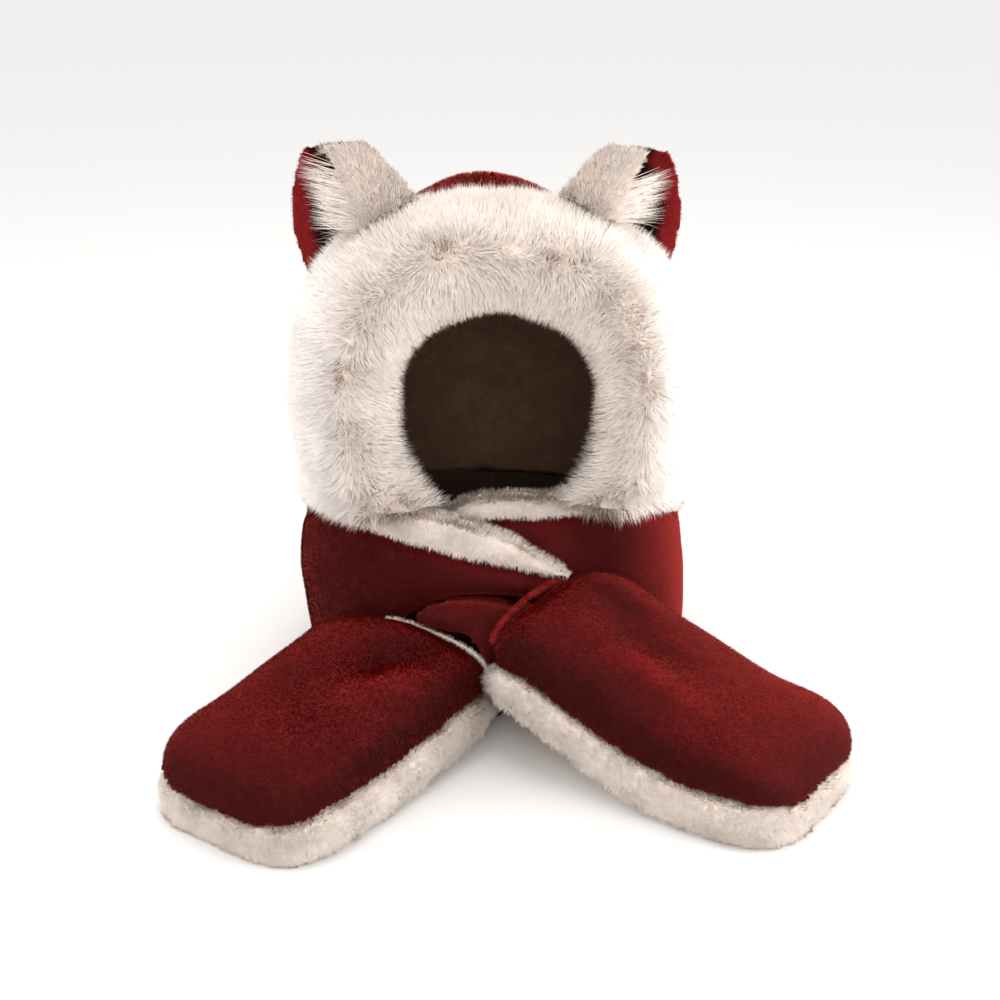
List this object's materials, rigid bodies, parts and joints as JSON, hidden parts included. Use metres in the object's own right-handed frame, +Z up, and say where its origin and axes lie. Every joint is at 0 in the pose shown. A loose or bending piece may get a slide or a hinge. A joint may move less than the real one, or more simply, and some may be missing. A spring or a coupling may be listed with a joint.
{
  "type": "animal hood scarf",
  "caption": "Plush hood with animal ears and a fur ruff round the face, whose neck panels cross in front and end in two hand pockets.",
  "frame": {"origin": "middle of the bounding box on the surface that the hood stands on", "axes": "+Z up; the face opening looks along -Y and the pockets lie in front of it; +X is the right of someone who looks at the face"},
  "size_m": [0.471, 0.4486, 0.405],
  "materials": {
    "red_plush": "short dense plush",
    "cream_fur": "long soft fur",
    "brown_lining": "soft brushed lining"
  },
  "bodies": {
    "root": {"hood_crown": "red_plush", "left_ear_back": "red_plush", "right_ear_back": "red_plush", "neck_panel_left": "red_plush", "neck_panel_right": "red_plush", "left_pocket_shell": "red_plush", "right_pocket_shell": "red_plush", "left_tail": "red_plush", "right_tail": "red_plush", "right_pocket_binding": "red_plush", "face_ruff": "cream_fur", "left_ear_front": "cream_fur", "right_ear_front": "cream_fur", "neck_trim_left": "cream_fur", "neck_trim_right": "cream_fur", "left_pocket_pad": "cream_fur", "right_pocket_pad": "cream_fur", "left_pocket_binding": "cream_fur", "hood_lining": "brown_lining"}
  },
  "joints": []
}
